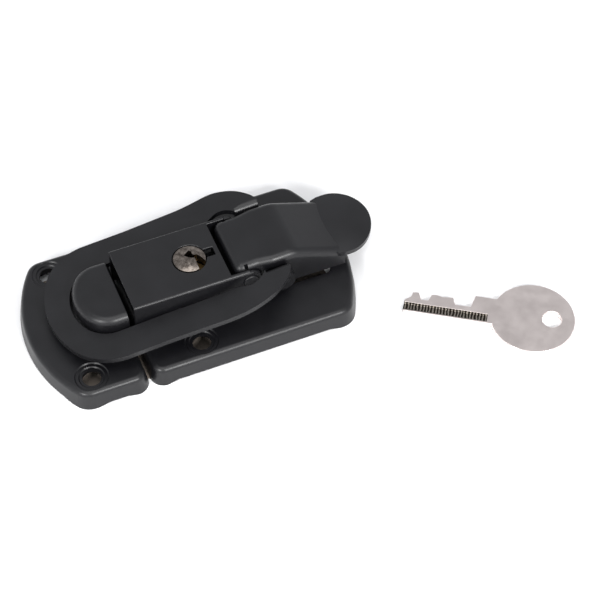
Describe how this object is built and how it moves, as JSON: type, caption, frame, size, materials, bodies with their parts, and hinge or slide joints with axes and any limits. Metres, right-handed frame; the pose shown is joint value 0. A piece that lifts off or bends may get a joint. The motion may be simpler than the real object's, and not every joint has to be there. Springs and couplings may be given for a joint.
{
  "type": "over-centre toggle latch with key lock",
  "caption": "Surface-mounted toggle latch in black coated steel: draw loop over a keeper hook, hinged lever with finger tab, key cylinder in a channel housing, and a loose flat key.",
  "frame": {"origin": "on the mounting plane, midway between the base plate's two screw holes", "axes": "+X runs along the latch from the keeper to the lever's finger tab, +Y across it, +Z away from the mounting surface"},
  "size_m": [0.1326, 0.0737, 0.0176],
  "materials": {
    "black_coat": "satin black powder coat on stamped steel, fine orange peel",
    "nickel": "nickel plated brass, lightly brushed and handled",
    "black_casting": "zinc die casting, blackened, matte",
    "zinc_steel": "bright zinc plated steel",
    "brass": "stamped brass, bare"
  },
  "bodies": {
    "base": {"base_plate": "black_coat", "lock_housing": "black_coat", "lever_pivot_pin": "black_coat", "lock_body": "black_casting"},
    "keeper": {"keeper_plate": "black_coat", "keeper_hook": "black_coat", "hook_rivets": "black_coat"},
    "lever": {"lever": "black_coat"},
    "link": {"loop_pivot_pin": "black_coat", "loop_washers": "black_coat"},
    "loop": {"loop": "black_coat"},
    "plug": {"lock_plug": "nickel", "lock_cam": "zinc_steel", "cam_washer": "zinc_steel", "cam_screw": "zinc_steel", "wafer_1": "brass", "wafer_2": "brass", "wafer_3": "brass", "wafer_4": "brass", "wafer_5": "brass"},
    "key": {"key": "nickel"}
  },
  "joints": [
    {"name": "keeper_take_up", "type": "slide", "parent": "base", "child": "keeper", "axis": [1, 0, 0], "range_m": [-0.0004, 0.0003]},
    {"name": "lever_hinge", "type": "hinge", "parent": "base", "child": "lever", "pos_m": [0.0163, 0, 0.0128], "axis": [0, -1, 0], "range_deg": [0, 90]},
    {"name": "loop_carrier", "type": "hinge", "parent": "lever", "child": "link", "pos_m": [0.0244, 0, 0.0106], "axis": [0, -1, 0], "range_deg": [-90, 0]},
    {"name": "loop_swing", "type": "hinge", "parent": "link", "child": "loop", "pos_m": [0.0244, 0, 0.0106], "axis": [0, 1, 0], "range_deg": [0, 110]},
    {"name": "plug_turn", "type": "hinge", "parent": "base", "child": "plug", "pos_m": [0.0036, 0, 0], "axis": [0, 0, 1], "range_deg": [0, 90]},
    {"name": "key_lift", "type": "slide", "parent": "base", "child": "key", "axis": [0, 0, 1], "range_m": [0, 0.05]}
  ],
  "couplings": [
    {"joint": "loop_carrier", "follows": "lever_hinge", "ratio": -1}
  ]
}
